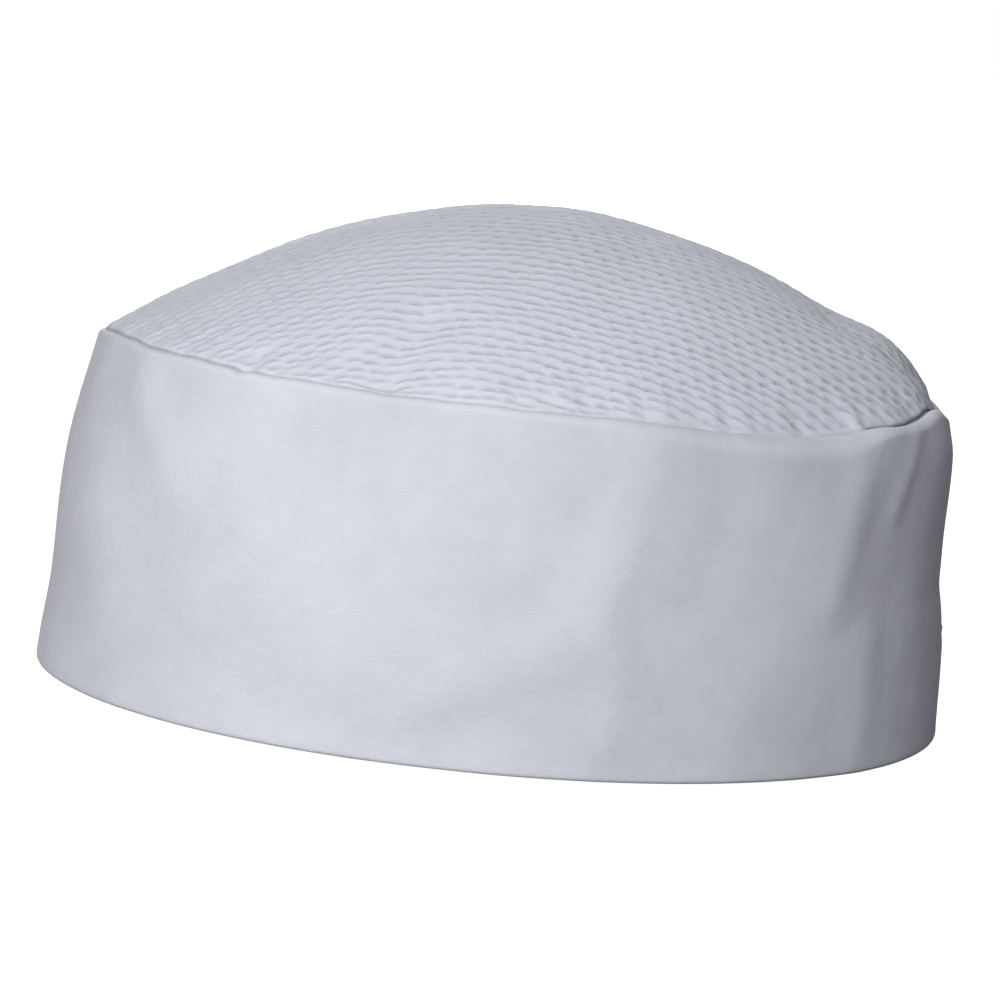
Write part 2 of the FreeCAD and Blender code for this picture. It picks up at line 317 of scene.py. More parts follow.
def unit(vector):
    return vector / np.linalg.norm(vector)


def add_points(vertices, points):
    """Add points to a list and return their numbers."""
    first = len(vertices)
    vertices.extend(points)
    return list(range(first, len(vertices)))


def join_rings(rings, faces):
    """Join each ring of points to the next one; a ring may be a single point."""
    for first, second in zip(rings, rings[1:]):
        sides = max(len(first), len(second))
        for corner in range(sides):
            after = (corner + 1) % sides
            if len(first) == 1:
                faces.append((first[0], second[after], second[corner]))
            elif len(second) == 1:
                faces.append((first[corner], first[after], second[0]))
            else:
                faces.append((first[corner], first[after], second[after], second[corner]))


def join_tube(rings, faces):
    """Join the rings of a tube and close both its ends."""
    join_rings(rings, faces)
    faces.append(tuple(rings[0][::-1]))
    faces.append(tuple(rings[-1]))


STITCH = 2.6 * MM
STITCH_GAP = 0.7 * MM
THREAD_RADIUS = 0.2 * MM
STITCH_PROFILE = (  # share of its length, radius and lift as shares of the thread's
    (0.0, 0.0, -0.25),
    (0.12, 0.75, 0.02),
    (0.5, 1.0, 0.15),
    (0.88, 0.75, 0.02),
    (1.0, 0.0, -0.25),
)
STITCH_SIDES = 6


def stitch_row(path, normals, vertices, faces):
    """Add one row of lockstitches that dip into the cloth at both ends."""
    travelled = lengths_along(path)
    count = max(1, int(travelled[-1] / (STITCH + STITCH_GAP)))
    pitch = travelled[-1] / count
    length = pitch - STITCH_GAP
    turns = np.linspace(0, 2 * math.pi, STITCH_SIDES, endpoint=False)
    nearby = 0.1 * MM

    def place(distance, source):
        return np.array([np.interp(distance, travelled, source[:, axis]) for axis in range(3)])

    for number in range(count):
        begin = number * pitch + STITCH_GAP / 2
        lean = random.uniform(-0.06, 0.06)
        rings = []
        for share, radius, lift in STITCH_PROFILE:
            at = begin + share * length
            normal = unit(place(at, normals))
            ahead = unit(place(at + nearby, path) - place(at - nearby, path))
            side = np.cross(normal, ahead)
            middle = place(at, path) + normal * lift * 2 * THREAD_RADIUS
            middle = middle + side * lean * (share - 0.5) * length
            reach = THREAD_RADIUS * radius
            rings.append(add_points(vertices, [
                middle + reach * (side * math.cos(turn) + normal * math.sin(turn))
                for turn in turns[:STITCH_SIDES if radius else 1]
            ]))
        join_rings(rings, faces)


def stitches(name, rows):
    """One thread object from rows of (points, outward normals)."""
    vertices, faces = [], []
    for path, normals in rows:
        stitch_row(np.asarray(path), np.asarray(normals), vertices, faces)
    return mesh_object(name, vertices, faces)


def wall_row(angles, heights, depth, outward=True):
    """A row of points lying on a layer of the band, with its normals."""
    angles, heights = np.broadcast_arrays(np.asarray(angles, float), np.asarray(heights, float))
    points = on_wall(angles, heights, depth)
    normals = points - on_wall(angles, heights, depth + 1 * MM)
    return points, normals if outward else -normals


# ---- materials
def add_node(tree, kind, inputs=None, **settings):
    """A new shader node, whose inputs take values or other nodes' outputs."""
    node = tree.nodes.new(kind)
    for key, value in settings.items():
        setattr(node, key, value)
    for key, value in (inputs or {}).items():
        if isinstance(value, bpy.types.NodeSocket):
            tree.links.new(value, node.inputs[key])
        else:
            node.inputs[key].default_value = value
    return node


class Shader:
    """A small builder for a node material round one Principled shader."""

    def __init__(self, name, colour, roughness, sheen=0.0):
        self.material = bpy.data.materials.new(name)
        self.material.use_nodes = True
        self.tree = self.material.node_tree
        self.shader = self.tree.nodes["Principled BSDF"]
        self.colour = colour
        self.bump = None
        plain = {
            "Base Color": (*colour, 1), "Roughness": roughness, "Specular IOR Level": 0.25,
            "Sheen Weight": sheen, "Sheen Roughness": 0.6,
        }
        for key, value in plain.items():
            self.shader.inputs[key].default_value = value

    def node(self, kind, inputs=None, **settings):
        return add_node(self.tree, kind, inputs, **settings)

    def place(self, source="UV", turn=0.0, scale=(1, 1, 1)):
        """Texture coordinates from the UV map or the object, turned and scaled."""
        where = self.node("ShaderNodeTexCoord").outputs[source]
        inputs = {"Vector": where, "Rotation": (0, 0, turn), "Scale": scale}
        return self.node("ShaderNodeMapping", inputs).outputs["Vector"]

    def attribute(self, name):
        """A value painted on the mesh."""
        return self.node("ShaderNodeAttribute", attribute_name=name).outputs["Fac"]

    def noise(self, where, scale, detail=2.0, rough=0.5):
        inputs = {"Vector": where, "Scale": scale, "Detail": detail, "Roughness": rough}
        return self.node("ShaderNodeTexNoise", inputs).outputs["Fac"]

    def ribs(self, where, pitch, distortion=0.0):
        """Parallel ribs across the first texture axis, one every pitch metres."""
        inputs = {
            "Vector": where, "Scale": 2 * math.pi / (20 * pitch), "Distortion": distortion,
            "Detail": 1.0, "Detail Scale": 1.5,
        }
        settings = {"wave_type": "BANDS", "bands_direction": "X", "wave_profile": "SIN"}
        return self.node("ShaderNodeTexWave", inputs, **settings).outputs["Fac"]

    def math(self, operation, first, second):
        inputs = {0: first, 1: second}
        return self.node("ShaderNodeMath", inputs, operation=operation).outputs["Value"]

    def times(self, first, second):
        return self.math("MULTIPLY", first, second)

    def plus(self, first, second):
        return self.math("ADD", first, second)

    def tint(self, factor, low, high):
        """Vary the base colour between two brightnesses of itself by a factor."""
        ramp = self.node("ShaderNodeValToRGB", {"Fac": factor})
        for element, share in zip(ramp.color_ramp.elements, (low, high)):
            element.color = (*[min(1, c * share) for c in self.colour], 1)
        self.tree.links.new(ramp.outputs["Color"], self.shader.inputs["Base Color"])

    def shade(self, factor, colour):
        """Mix a darker colour over the base colour by a factor: painted shade."""
        into = self.shader.inputs["Base Color"]
        inputs = {0: factor, 6: into.links[0].from_socket, 7: (*colour, 1)}
        mix = self.node("ShaderNodeMix", inputs, data_type="RGBA")
        self.tree.links.new(mix.outputs[2], into)

    def relief(self, height, distance, strength=1.0):
        """Add a layer of bump."""
        inputs = {"Distance": distance, "Strength": strength, "Height": height}
        if self.bump is not None:
            inputs["Normal"] = self.bump
        self.bump = self.node("ShaderNodeBump", inputs).outputs["Normal"]
        self.tree.links.new(self.bump, self.shader.inputs["Normal"])


WHITE = (0.74, 0.75, 0.82)


def twill_material():
    """Fine diagonal twill ribs, slubs in the yarn and a soft mottle."""
    look = Shader("white_twill", WHITE, 0.85, sheen=0.25)
    ribs = look.ribs(look.place(turn=math.radians(62)), 0.42 * MM, distortion=1.2)
    yarn = look.times(look.noise(look.place(scale=(1, 6, 1)), 900, detail=3), 0.8)
    mottle = look.noise(look.place(), 30, detail=6, rough=0.7)
    cloth = look.plus(look.times(ribs, 0.5), yarn)
    cloudy = look.plus(look.times(mottle, 2.4), -0.9)
    fine = look.plus(look.times(cloth, 0.22), cloudy)
    look.tint(fine, 0.91, 1.06)
    look.relief(mottle, 1.2 * MM, 0.5)
    look.relief(cloth, 0.045 * MM, 0.7)
    return look.material


def knit_material():
    """The mesh's own fine knit, with painted shade down in the holes and a painted shadow line in
    the crease along its seam.
    """
    look = Shader("cool_mesh", (0.712, 0.738, 0.825), 0.8, sheen=0.2)
    holes = look.attribute("hole")
    loops = look.ribs(look.place(turn=math.radians(90)), 0.42 * MM, distortion=1.5)
    columns = look.ribs(look.place(), 0.5 * MM, distortion=1.2)
    knit = look.times(loops, columns)
    cloudy = look.times(look.noise(look.place(), 60, detail=3), 0.3)
    # Painted shade: the base colour darkens where the hole attribute is high, standing in for the
    # shadow down in each hole.
    shade = look.math("SUBTRACT", look.plus(cloudy, 0.75), look.times(holes, 0.7))
    look.tint(shade, 0.66, 1.06)
    # A painted shadow: a thin line along the crease at the seam, mixed towards near black by the
    # strength painted on the mesh.
    across = look.attribute("from_shadow_line")
    square = look.times(across, across)
    line = look.math("EXPONENT", look.times(square, -1), 0)
    look.shade(look.times(line, look.attribute("crease_shadow")), (0.04, 0.05, 0.08))
    look.relief(knit, 0.04 * MM, 0.35)
    return look.material


def terry_material():
    """Loops of terry in uneven clumps."""
    look = Shader("white_terry", (0.80, 0.80, 0.83), 0.95, sheen=0.5)
    where = look.place()
    curls = look.times(look.noise(where, 1400), 0.6)
    clumps = look.times(look.noise(where, 260, detail=3), 0.5)
    pile = look.plus(curls, clumps)
    look.tint(pile, 0.82, 1.08)
    look.relief(pile, 0.5 * MM, 0.9)
    return look.material


def tape_material():
    """Plain-woven narrow tape."""
    look = Shader("white_tape", (0.80, 0.80, 0.84), 0.75, sheen=0.2)
    weft = look.ribs(look.place(), 0.5 * MM)
    warp = look.ribs(look.place(turn=math.radians(90)), 0.5 * MM)
    weave = look.times(weft, warp)
    cloudy = look.noise(look.place(), 90)
    look.tint(look.plus(look.times(weave, 0.6), cloudy), 0.88, 1.05)
    look.relief(weave, 0.08 * MM, 0.9)
    return look.material


def satin_material():
    """Woven satin label with a fine warp."""
    look = Shader("label_satin", (0.88, 0.88, 0.88), 0.42, sheen=0.1)
    warp = look.ribs(look.place(), 0.22 * MM)
    cloudy = look.noise(look.place(), 120)
    look.tint(look.plus(look.times(warp, 0.5), cloudy), 0.92, 1.03)
    look.relief(warp, 0.03 * MM, 0.6)
    return look.material


def fibre_material(name, colour, roughness, sheen, scale, detail, tint, relief):
    """A material with one fine noise for its fibres, which tints and roughens it."""
    look = Shader(name, colour, roughness, sheen)
    fibres = look.noise(look.place("Object"), scale, detail)
    look.tint(fibres, *tint)
    look.relief(fibres, *relief)
    return look.material


def pile_material(name, colour, roughness):
    return fibre_material(name, colour, roughness, 0.4, 1800, 2, (0.82, 1.08), (0.2 * MM, 0.7))


TWILL = twill_material()
KNIT = knit_material()
TERRY = terry_material()
TAPE = tape_material()
THREAD = fibre_material(
    "white_thread", (0.86, 0.86, 0.89), 0.5, 0.3, 3500, 1, (0.85, 1.05), (0.05 * MM, 0.6)
)
FELT = fibre_material(
    "interfacing_felt", (0.84, 0.84, 0.84), 0.95, 0, 1600, 4, (0.85, 1.05), (0.1 * MM, 0.7)
)
LOOPS = pile_material("loop_pile", (0.82, 0.82, 0.85), 0.9)
HOOKS = pile_material("hook_plastic", (0.80, 0.80, 0.83), 0.45)
SATIN = satin_material()


def dress(piece, material, body="cap", replaces=()):
    """Give a piece its material, body and the CAD nodes that it stands for."""
    piece.data.materials.clear()
    piece.data.materials.append(material)
    if body:
        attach(piece, body)
    if replaces:
        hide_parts(*replaces)
    return piece


def sew(name, rows, replaces, body="cap"):
    """Stitches of white thread along rows of (points, normals)."""
    return dress(stitches(name, rows), THREAD, body, replaces)


# ---- the band
ROLL_RADIUS = 1.4 * MM
FRONT_COLUMNS = 440
SEAM_COLUMNS = np.array([-0.9, -0.5, -0.25, 0.25, 0.5, 0.9]) * MM


def round_columns():
    """Columns round the band from its back seam: fine over the opening, to follow its arch.

    Also says which columns have the opening between them and the next column.
    """
    sweep = np.linspace(-math.pi / 2, math.pi / 2, 49)
    across = np.unique(np.concatenate([OPENING_HALF * np.sin(sweep), SEAM_COLUMNS]))
    opening = angle_at(across, OPENING_SPRING)[::-1]
    front = np.linspace(opening[-1], opening[0] + 2 * math.pi, FRONT_COLUMNS)[1:-1]
    angles = np.concatenate([opening, front])
    inside = np.arange(len(angles)) < len(opening) - 1
    seam = len(opening) // 2
    angles = np.concatenate([angles[seam:], angles[:seam] + 2 * math.pi])
    return angles, np.roll(inside, -seam)


def side_crease(angle):
    """1 where the crown tucks sharply behind the band, at the end of the sagging stretch."""
    turn = degrees_round(angle)
    return smooth(turn, 22.5, 25) * (1 - smooth(turn, 46, 70))


def roll_radius(angle):
    """The rolled shoulder is tight at one side and full at the front, where the cloth sags."""
    turn = degrees_round(angle)
    full = bump(turn, 6, 21) * (1 - smooth(turn, 19, 30))
    return ROLL_RADIUS * (1 - 0.3 * bump(turn, -110, 40) + 1.9 * full)


def roll_turn(angle):
    """How far the shoulder rolls over before the crown leaves it.

    The crown lies on the sagging stretch, and a sharp crease follows where it tucks back in.
    """
    turn = degrees_round(angle)
    lies_on = 42 * bump(turn, 0, 20) * (1 - side_crease(angle))
    return np.radians(145 - lies_on - 60 * bump(turn, -118, 36) - 25 * bump(turn, 52, 16))


def seam_gap(angle):
    """How deep the crown's edge tucks in behind the shoulder."""
    turn = degrees_round(angle)
    return (0.25 + 0.35 * side_crease(angle) - 0.2 * bump(turn, -118, 36)) * MM


def shoulder(angle, turn):
    """Depth and height of the rolled shoulder at an angle of its roll."""
    radius = roll_radius(angle)
    depth = PLY / 2 + radius * (1 - np.cos(turn))
    return depth, TOP_OF_BAND - radius + radius * np.sin(turn)


FELT_FOOT = 1.4 * MM
FELT_HEAD = 69 * MM


def band():
    """The twill strip, folded at the rim and rolled at the top, and the stiffener inside it."""
    angles, inside = round_columns()
    across = half_axes(OPENING_SPRING)[0] * np.cos(angles)
    over = np.sin(angles) > 0
    in_opening = over & (np.abs(across) <= OPENING_HALF + 1e-9)
    foot = np.where(in_opening, arch_height(across), OPENING_SPRING)
    roll_start = shoulder(angles, 0)[1]
    fold_radius = (WALL - PLY) / 2
    fold_centre = fold_radius + PLY / 2
    below_arch = OPENING_SPRING - fold_centre
    groove = 0.22 * MM * bump(across, 0, 0.4 * MM) * over
    inner, outer = WALL - PLY / 2, PLY / 2 + groove
    rows = []

    def add(height, depth, below_spring=False):
        height, depth = (np.broadcast_to(value, angles.shape) for value in (height, depth))
        rows.append((height, depth, below_spring))

    for share in np.linspace(1, 0, 16):
        add(foot + share * (FELT_HEAD - foot), inner)
    for share in np.linspace(1, 0, 7)[1:]:
        add(fold_centre + share * below_arch, inner, True)
    for turn in np.linspace(0, math.pi, 9)[1:-1]:
        height = fold_centre - fold_radius * math.sin(turn)
        add(height, WALL / 2 + fold_radius * math.cos(turn), True)
    for share in np.linspace(0, 1, 9)[:-1]:
        add(fold_centre + share * below_arch, outer, True)
    for share in np.linspace(0, 1, 36):
        add(foot + share * (roll_start - foot), outer)
    for share in np.linspace(0, 1, 16)[1:]:
        depth, height = shoulder(angles, share * roll_turn(angles))
        add(height, depth + groove)
    heights, depths, below = (np.array(values) for values in zip(*rows))
    points = on_wall(angles[None, :], heights, depths)
    outer_row, front_column = 60, 200
    around, girth = lengths_round(points[outer_row])
    travelled = lengths_along(points[:, front_column])
    keep = ~((below[:-1] | below[1:])[:, None] & inside[None, :])
    uv = flat_map(around[None, :], travelled[:, None])
    piece = grid_object("band_twill", points, uv, keep=keep, girth=girth)
    thicken(piece, PLY)
    dress(piece, TWILL, replaces=["band_shell"])

    felt_foot = np.where(in_opening, arch_height(across) + 0.4 * MM, FELT_FOOT)
    heights = felt_foot + np.linspace(0, 1, 24)[:, None] * (FELT_HEAD - felt_foot)
    points = on_wall(angles[None, :], heights, WALL / 2)
    uv = flat_map(around[None, :], heights)
    felt = grid_object("interfacing_strip", points, uv, girth=girth)
    thicken(felt, 0.5 * MM)
    dress(felt, FELT, replaces=["band_interfacing"])


# ---- the crown
GRAIN = math.radians(56)          # direction of the rows of holes, seen from above
ROW = 3.3 * MM                    # from one hole to the next one above it
DASH = 4.45 * MM                  # from one hole to the next one beside it
ROW_SLIP = 0.242                  # how far each row slips along for its height
HOLE = (1.65 * MM, 1.0 * MM)      # half length and half width of a hole
HOLE_DEPTH = 0.36 * MM
CROWN_STEP = (0.8 * MM, 0.4 * MM)  # between the mesh's points, along the rows and across
SKIRT = 5 * MM                    # the seam allowance that shows inside
RISE_POWERS = (1.775, 0.834)
ROW_BEND = 4.9                    # how fast the rows' slope grows along them, per metre
BEND_END = 50 * MM                # where it stops growing
ROW_CLOSING = 3.0                 # how the rows draw together at the front
CROWN_FOLDS = (  # start and end as (x, y) in mm, half width, height in mm
    ((46, -72), (38, -57), 5.5, -1.5),
    ((39, 51), (46, 63), 3.4, -0.9),
    ((46, 63), (41, 77), 3.0, -1.3),
    ((-20, -82), (-10, -48), 5.0, -0.5),
    ((60, -30), (40, -8), 9.0, -0.4),
    ((-45, 40), (-62, 10), 8.0, -0.5),
    ((-40, -60), (-15, -30), 7.0, -0.4),
    ((21, -88), (21.3, -87), 1.5, -0.9),
    ((64, -44), (67, -39), 1.0, -0.6),
)


def crown_lift(plan_angle, share):
    """Height of the crown above its seam, at a share of the way out from the centre."""
    rise = TOP - TOP_OF_BAND + 0.6 * MM
    inner, outer = RISE_POWERS
    base = rise * (1 - np.clip(share, 0, 1) ** inner) ** outer
    turn = degrees_round(plan_angle)
    front_left = 1.7 * bump(turn, -98, 40) * bump(share, 0.75, 0.3)
    front_left = front_left * (1 - smooth(share, 0.93, 1))
    back_right = 4.4 * bump(turn, 66, 21) * bump(share, 0.89, 0.13)
    back_right = back_right * (1 - smooth(share, 0.965, 1))
    return base + (back_right - front_left) * MM


def crown_unevenness(x, y, share):
    """Soft folds and hollows in the stretched mesh."""
    x, y = x / MM, y / MM
    total = 0.22 * np.sin(x / 6.3 + 1.1 * np.sin(y / 11)) * np.sin(y / 7.1 + 0.8)
    for fold in CROWN_FOLDS:
        total = total + along_fold(x, y, fold)
    return total * MM * (1 - smooth(share, 0.97, 1.0))


def shares_reached(reach, edge):
    """How far out of the dome each length of cloth reaches, and the cloth's whole length.

    Lengths over the dome are measured at a few radii, and the ones between are blended.
    """
    shares = np.linspace(0, 1, 200)
    radii = np.linspace(edge.min(), edge.max(), 12)
    lift = crown_lift(0, shares)
    lengths = [lengths_along(np.stack([shares * radius, lift], -1)) for radius in radii]
    slot = np.clip((edge - radii[0]) / (radii[1] - radii[0]), 0, len(radii) - 1.001)
    low = slot.astype(int)
    mix = slot - low
    share = np.zeros_like(reach)
    total = np.zeros_like(reach)
    for number, length in enumerate(lengths):
        weight = np.where(low == number, 1 - mix, 0) + np.where(low + 1 == number, mix, 0)
        share += weight * np.interp(reach, length, shares)
        total += weight * length[-1]
    return share, total


def crown_points(along, across):
    """Lay flat mesh cloth over the dome: distances from its centre are kept."""
    turned = (math.cos(GRAIN), math.sin(GRAIN))
    plan_angle = np.arctan2(
        along * turned[1] + across * turned[0], along * turned[0] - across * turned[1]
    )
    reach = np.hypot(along, across)
    angle, edge, shift, (sag, wobble) = crown_edge(plan_angle)
    share, total = shares_reached(reach, edge)
    past = np.clip(reach - total, 0, None)
    plan = share * edge + shift * smooth(share, 0.86, 1)
    x, y = plan * np.cos(plan_angle), plan * np.sin(plan_angle)
    height = TOP_OF_BAND + sag * share ** 4 + wobble * smooth(share, 0.9, 1)
    height = height + crown_lift(plan_angle, share) + crown_unevenness(x, y, share)
    points = np.stack([x, y, height], -1)
    depth, start = shoulder(angle, roll_turn(angle))
    gap = seam_gap(angle)
    tuck = np.clip(past / (1.5 * MM), 0, 1)
    depth = depth + gap
    skirt = on_wall(angle, start - gap - past, depth + (WALL + 0.5 * MM - depth) * tuck)
    points = np.where(past[..., None] > 0, skirt, points)
    return points, angle, share, total - reach


def smooth_round(values, reach):
    """A running mean round the oval."""
    count = len(values)
    window = np.exp(-((np.arange(count) - count // 2) / reach) ** 2)
    spectrum = np.fft.rfft(values) * np.fft.rfft(np.roll(window / window.sum(), -(count // 2)))
    return np.fft.irfft(spectrum, count)


def crown_edge(plan_angle):
    """Where the crown's seam is: the oval's parameter, a distance, a shift and a height.

    The distance and the height's first part change slowly, and the dome follows them. The shift
    and the height's second part are the seam's quick wobbles, which only the edge follows.
    """
    wide, long_ = half_axes(TOP_OF_BAND)
    angle = np.arctan2(np.sin(plan_angle) / long_, np.cos(plan_angle) / wide)
    samples = np.linspace(-math.pi, math.pi, 1441)[:-1]
    depth, height = shoulder(samples, roll_turn(samples))
    gap = seam_gap(samples)
    seam = on_wall(samples, height - gap, depth + gap)
    distance = np.hypot(seam[:, 0], seam[:, 1])
    slow = smooth_round(distance, 50)
    above = seam[:, 2] - TOP_OF_BAND
    sag = smooth_round(above, 24)

    def here(values):
        return np.interp(angle, samples, values, period=2 * math.pi)

    return angle, here(slow), here(distance - slow), (here(sag), here(above - sag))


def dash_turn(along, across):
    """The direction of a hole in the flat mesh, which the pull of the dome varies."""
    along, across = along / MM, across / MM
    degrees = 4 + 0.4 * np.clip(along, 0, None) + 14 * smooth(-along, 28, 48)
    degrees = degrees - 16 * bump(along, -24, 14) * bump(across, -62, 16)
    degrees = degrees + 20 * bump(along, -10, 26) * bump(across, -28, 14)
    return np.radians(degrees + 6 * smooth(across, -40, -15) * smooth(along, 20, 50))


def straightened(along, across):
    """How far up the rows a point is, and the rows' slope there.

    The rows curve round the dome and lie closer together towards the front.
    """
    centre = along + 12 * MM
    curved = 1 - smooth(across, -20 * MM, 60 * MM)
    bent = np.minimum(centre, BEND_END)
    pulled = across - ROW_BEND * (bent * centre - bent ** 2 / 2) * curved
    pulled = pulled - ROW_CLOSING * np.clip(-across - 30 * MM, 0, None) ** 2
    pulled = pulled + 0.35 * MM * np.sin(along / (9 * MM) + np.sin(across / (13 * MM)))
    return pulled, ROW_BEND * bent * curved


def hole_pattern(along, across):
    """1 in the middle of a hole, 0 on the ground between and negative on its raised cord.

    The holes are short dashes. Each turns a little from its row, has a cord along one edge,
    and is drawn out longer and thinner towards one side of the cap.
    """
    pulled, slope = straightened(along, across)
    turn = dash_turn(along, across)
    drawn_out = smooth(along, -10 * MM, 50 * MM)
    half_length = HOLE[0] * (1 + 0.12 * drawn_out)
    half_width = HOLE[1] * (0.92 - 0.2 * drawn_out)
    up = pulled / ROW
    total = np.zeros_like(along)
    for row in (np.floor(up), np.floor(up) + 1):
        slip = 0.3 * MM * np.sin(row * 12.9898)
        place = (along + ROW_SLIP * pulled + slip) / DASH
        for column in (np.floor(place), np.floor(place) + 1):
            jitter = np.sin(row * 78.233 + column * 2.4)
            other = np.sin(row * 39.346 + column * 11.135)
            rise = (up - row) * ROW + 0.42 * MM * other
            sideways = (place - column) * DASH - ROW_SLIP * rise + 0.45 * MM * jitter
            rise = rise + slope * sideways
            ahead = (sideways * np.cos(turn) + rise * np.sin(turn)) / half_length
            off = rise * np.cos(turn) - sideways * np.sin(turn)
            off = (off + 0.3 * MM * ahead ** 2) / half_width
            along_it = np.exp(-((ahead / (1 + 0.12 * jitter)) ** 4))
            dash = along_it * np.exp(-(off ** 2)) * (1 + 0.25 * other)
            cord = 0.5 * along_it * bump(off, -1.25, 0.55)
            total = np.where(dash > np.abs(total), dash, total)
            total = np.where(cord > np.abs(total), -cord, total)
    return total


def crown():
    """The mesh: one sheet over the dome, tucked in behind the band's shoulder."""
    reach = half_axes(0)[1] * 1.12
    along = np.arange(-reach, reach, CROWN_STEP[0])
    across = np.arange(-reach, reach, CROWN_STEP[1])
    across, along = np.meshgrid(across, along, indexing="ij")
    points, angle, share, from_seam = crown_points(along, across)
    normal = np.cross(np.gradient(points, axis=1), np.gradient(points, axis=0))
    normal /= np.linalg.norm(normal, axis=-1, keepdims=True) + 1e-12
    turn = degrees_round(angle)
    tight = side_crease(angle)
    lies_on = bump(turn, 0, 22)
    holes = hole_pattern(along, across) * (1 - smooth(share, 0.975, 1.0))
    holes = holes * (1 - 0.5 * lies_on * smooth(share, 0.86, 0.98))
    # The holes are deeper towards one side, which also makes their painted shade stronger there.
    holes = holes * (0.72 + 0.62 * smooth(along, -30 * MM, 40 * MM))
    holes = holes * (1 - 0.25 * bump(turn, 42, 22) * smooth(share, 0.7, 0.9))
    gather = np.sin(47 * angle + 2 * np.sin(5 * angle)) + 0.6 * np.sin(83 * angle + 1)
    relief = 0.13 * MM * gather * bump(share, 0.97, 0.05) - HOLE_DEPTH * holes
    relief = relief + 0.22 * MM * bump(from_seam, 1.7 * MM, 0.8 * MM) * (1 - lies_on)
    points = points + normal * relief[..., None]
    within = from_seam > -SKIRT
    keep = within[:-1, :-1] & within[1:, :-1] & within[:-1, 1:] & within[1:, 1:]
    used = np.zeros(within.shape, bool)
    for rows in (slice(None, -1), slice(1, None)):
        for columns in (slice(None, -1), slice(1, None)):
            used[rows, columns] |= keep
    piece = grid_object("crown_mesh", points, flat_map(along, across), keep=keep)
    # Strength of the painted shadow line in the crease round the cap, strongest where the crown
    # tucks in sharply, and each point's distance from that line in line widths.
    left = smooth(turn, -160, -140) * (1 - smooth(turn, -50, -20))
    crease_shadow = 0.33 + 0.12 * left + 0.6 * tight - 0.33 * lies_on * (1 - tight)
    from_line = from_seam - 0.55 * MM * (1 + 0.6 * tight)
    # Painted on the mesh for its material: the hole pattern for the painted shade in the holes, and
    # the painted shadow line in the crease.
    fields = {
        "hole": np.clip(holes, 0, 1),
        "crease_shadow": np.clip(crease_shadow, 0, 1),
        "from_shadow_line": from_line / ((0.5 + 0.1 * tight) * MM),
    }
    for name, values in fields.items():
        attribute = piece.data.attributes.new(name, "FLOAT", "POINT")
        attribute.data.foreach_set("value", values[used].astype(np.float32))
    dress(piece, KNIT, replaces=["crown_panel"])


def crown_tape():
    """Narrow tape over the crown's seam allowance, with a row of stitches along each edge."""
    low, high = tape_low[2], tape_high[2]
    angles = np.linspace(0, 2 * math.pi, 361)[:-1]
    heights = np.linspace(low, high, 7)[:, None]
    depth = WALL + 1.25 * MM
    points = on_wall(angles[None, :], heights, depth + 0.12 * MM * np.sin(heights * 900))
    around, girth = lengths_round(points[3])
    uv = flat_map(around[None, :], heights)
    piece = thicken(grid_object("seam_tape", points, uv, girth=girth), 0.5 * MM)
    dress(piece, TAPE, replaces=["crown_seam_tape"])
    loop = np.linspace(0, 2 * math.pi, 721)
    inset = 1.2 * MM
    rows = [wall_row(loop, height, depth + 0.3 * MM, outward=False)
            for height in (low + inset, high - inset)]
    sew("crown_seam_stitches", rows, ["crown_seam_thread"])


# ---- inside the rim
def sweatband():
    """Terry strip inside the rim, from one side of the opening round to the other."""
    low, high = terry_low[2], terry_high[2]
    clear = OPENING_HALF + 6.4 * MM
    start = float(angle_at(-clear, 10 * MM))
    end = float(angle_at(clear, 10 * MM)) + 2 * math.pi
    angles = np.linspace(start, end, 700)
    heights = np.linspace(low, high, 36)[:, None]
    depth = WALL + 0.9 * MM
    loops = np.sin(angles[None, :] * 420) * np.sin(heights * 2600)
    points = on_wall(angles[None, :], heights, depth + 0.12 * MM * loops)
    around = lengths_along(points[18])
    uv = flat_map(around[None, :], heights)
    piece = thicken(grid_object("terry_sweatband", points, uv), 1.3 * MM, bevel=0.3 * MM)
    dress(piece, TERRY, replaces=["sweatband"])
    inset = 1.7 * MM
    rows = [wall_row(angles[8:-8], height, depth + 0.68 * MM, outward=False)
            for height in (low + inset, high - inset)]
    sew("sweatband_stitches", rows, ["sweatband_thread"])


# ---- the back opening
ARCH_STEP = 1 * MM


def arch_path(margin, foot=0.6 * MM):
    """The arch's outline grown by a margin, as x and height, from one foot to the other."""
    radius = OPENING_HALF + margin
    rise = int((OPENING_SPRING - foot) / ARCH_STEP)
    heights = np.linspace(foot, OPENING_SPRING, rise, endpoint=False)
    left = np.stack([np.full(rise, -radius), heights], -1)
    turn = np.linspace(math.pi, 0, int(math.pi * radius / ARCH_STEP))
    head = np.stack([radius * np.cos(turn), OPENING_SPRING + radius * np.sin(turn)], -1)
    return np.concatenate([left, head, left[::-1] * (-1, 1)])


def binding_section():
    """The folded tape's outer leg, lip and inner leg, as (margin, depth)."""
    stand = 0.25 * MM
    legs = np.linspace(0, BINDING_LEG, 8)
    section = [(leg, -stand) for leg in legs[::-1]]
    for turn in np.linspace(0, math.pi, 8)[1:-1]:
        depth = WALL / 2 - (WALL / 2 + stand) * math.cos(turn)
        section.append((-0.45 * MM * math.sin(turn), depth))
    return section + [(leg, WALL + stand) for leg in legs]


